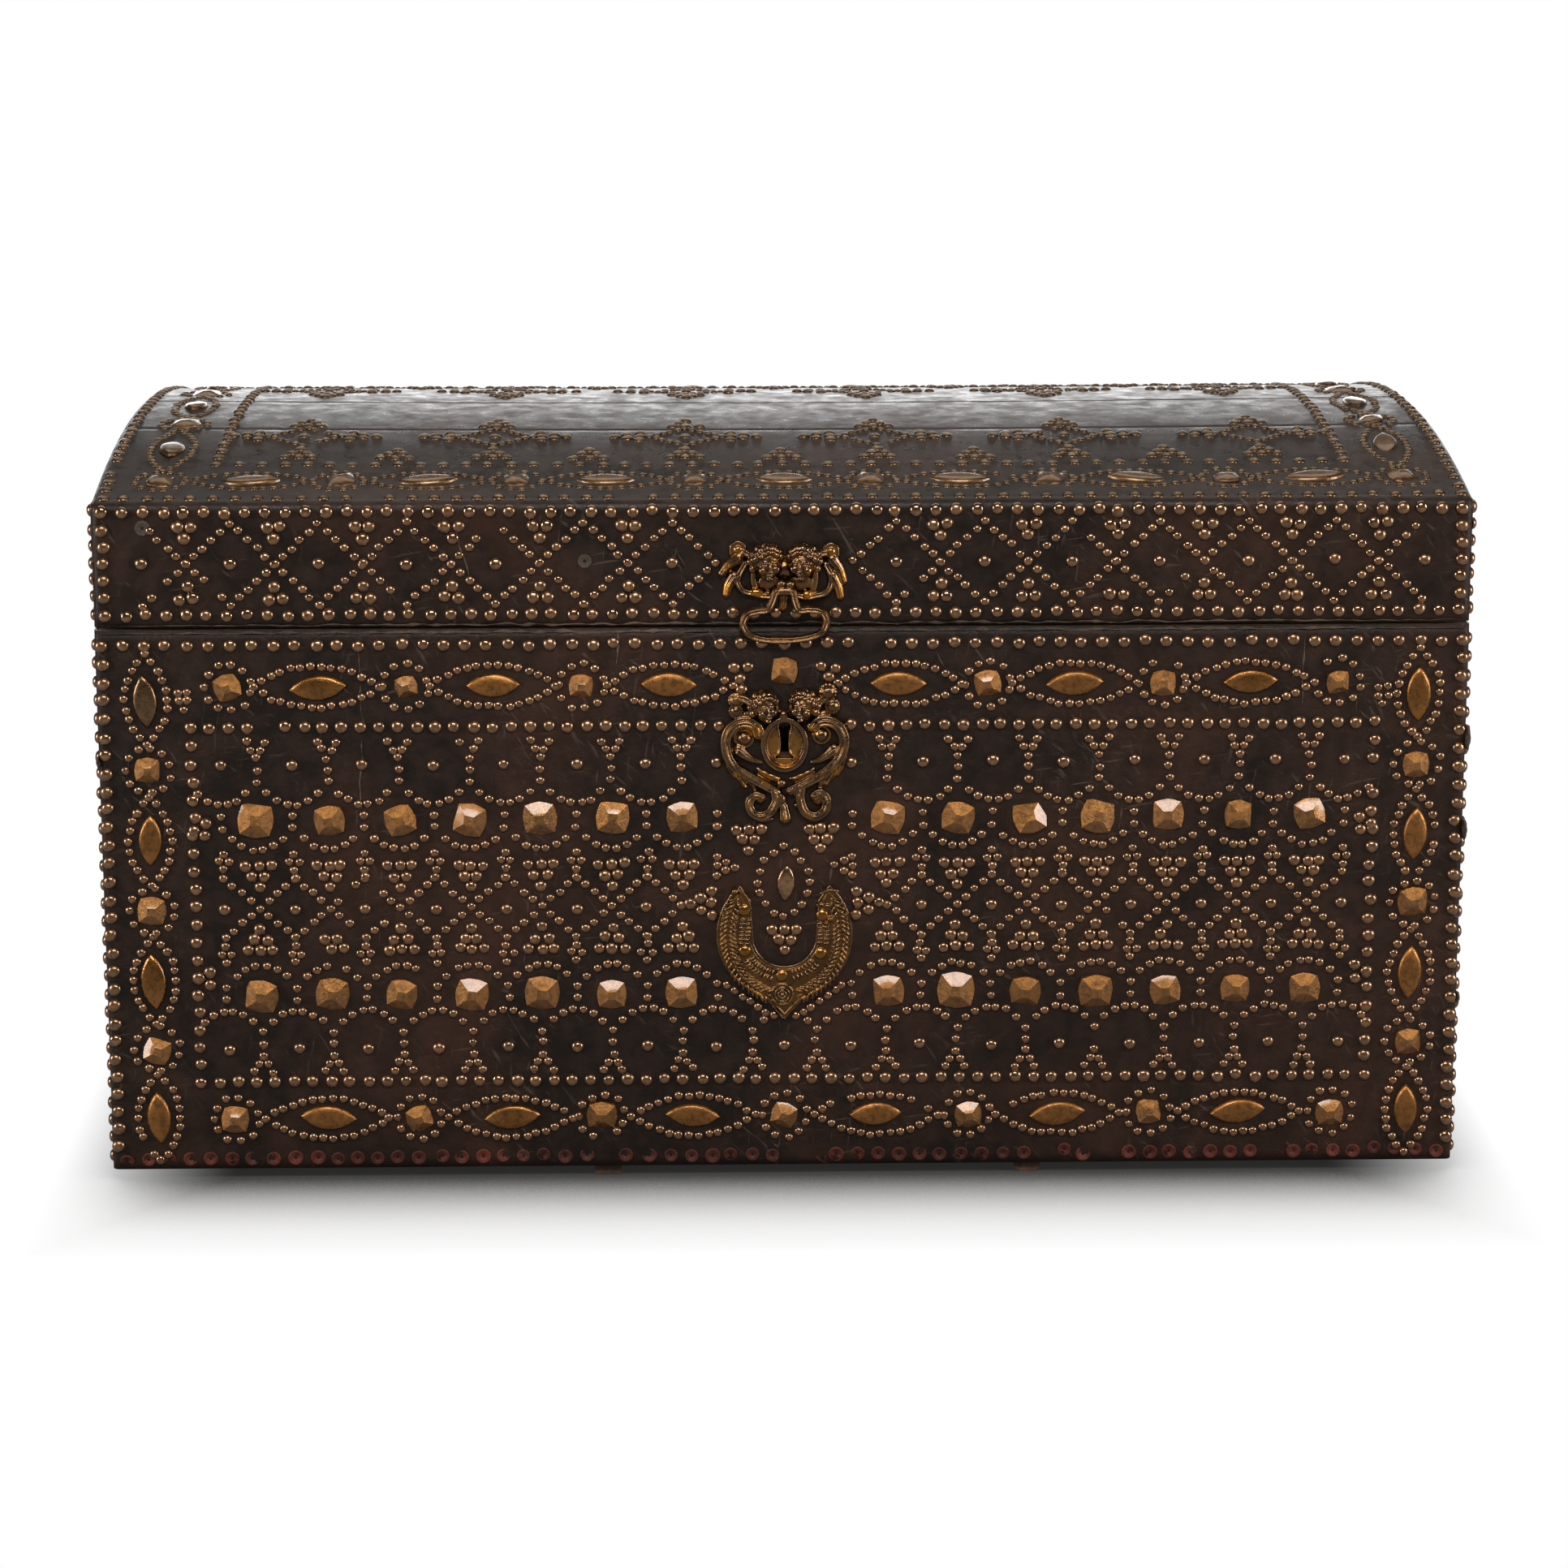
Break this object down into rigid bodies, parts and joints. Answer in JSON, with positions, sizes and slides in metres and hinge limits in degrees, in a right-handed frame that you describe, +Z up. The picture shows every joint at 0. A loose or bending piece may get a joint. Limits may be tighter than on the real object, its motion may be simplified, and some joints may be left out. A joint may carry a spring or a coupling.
{
  "type": "leather blanket chest",
  "caption": "Leather-covered blanket chest with a shallow domed lid, studded with brass nails and bosses, with a cast keyhole escutcheon, a mask mount with a swinging bail and a crescent plate.",
  "frame": {"origin": "on the floor under the middle of the case", "axes": "+X to the viewer's right along the front, -Y towards the viewer out of the front, +Z up"},
  "size_m": [1.1368, 0.5827, 0.5981],
  "materials": {
    "case_wood": "old bare boards, dull",
    "lid_wood": "old bare boards, dull",
    "leather": "aged dark hide, worn sheen",
    "boss_brass": "worn brass, browned",
    "cast_bronze": "dark cast bronze with rests of gilding",
    "forged_iron": "forged iron, dark"
  },
  "bodies": {
    "case": {"front_board": "case_wood", "back_board": "case_wood", "left_end_board": "case_wood", "right_end_board": "case_wood", "floor_plank_1": "case_wood", "floor_plank_2": "case_wood", "floor_plank_3": "case_wood", "left_runner": "case_wood", "right_runner": "case_wood", "front_leather": "leather", "back_leather": "leather", "left_leather": "leather", "right_leather": "leather", "front_square_bosses": "boss_brass", "front_lens_bosses": "boss_brass", "centre_lens_boss": "boss_brass", "lock_escutcheon": "cast_bronze", "crescent_mount": "cast_bronze", "left_case_hinge": "forged_iron", "right_case_hinge": "forged_iron", "left_hinge_pin": "forged_iron", "right_hinge_pin": "forged_iron", "lock_case": "forged_iron", "left_handle_lugs": "forged_iron", "right_handle_lugs": "forged_iron"},
    "lid": {"lid_front_rail": "lid_wood", "lid_back_rail": "lid_wood", "lid_left_end": "lid_wood", "lid_right_end": "lid_wood", "lid_stave_1": "lid_wood", "lid_stave_2": "lid_wood", "lid_stave_3": "lid_wood", "lid_stave_4": "lid_wood", "lid_stave_5": "lid_wood", "lid_top_leather": "leather", "lid_front_leather": "leather", "lid_back_leather": "leather", "lid_left_leather": "leather", "lid_right_leather": "leather", "lid_square_bosses": "boss_brass", "lid_lens_bosses": "boss_brass", "mask_mount": "cast_bronze", "lid_staple": "forged_iron", "left_lid_hinge": "forged_iron", "right_lid_hinge": "forged_iron"},
    "bail": {"bail_pull": "cast_bronze"},
    "left_drop_handle": {"left_handle": "forged_iron"},
    "right_drop_handle": {"right_handle": "forged_iron"},
    "bolt": {"lock_bolt": "forged_iron"}
  },
  "joints": [
    {"name": "lid_hinge", "type": "hinge", "parent": "case", "child": "lid", "pos_m": [0, 0.2855, 0.46325], "axis": [-1, 0, 0], "range_deg": [0, 100]},
    {"name": "bail_swing", "type": "hinge", "parent": "lid", "child": "bail", "pos_m": [0, -0.288, 0.4935], "axis": [-1, 0, 0], "range_deg": [0, 125]},
    {"name": "left_handle_swing", "type": "hinge", "parent": "case", "child": "left_drop_handle", "pos_m": [-0.561, 0, 0.3], "axis": [0, 1, 0], "range_deg": [0, 90]},
    {"name": "right_handle_swing", "type": "hinge", "parent": "case", "child": "right_drop_handle", "pos_m": [0.561, 0, 0.3], "axis": [0, -1, 0], "range_deg": [0, 90]},
    {"name": "bolt_slide", "type": "slide", "parent": "case", "child": "bolt", "axis": [1, 0, 0], "range_m": [0, 0.014]}
  ]
}
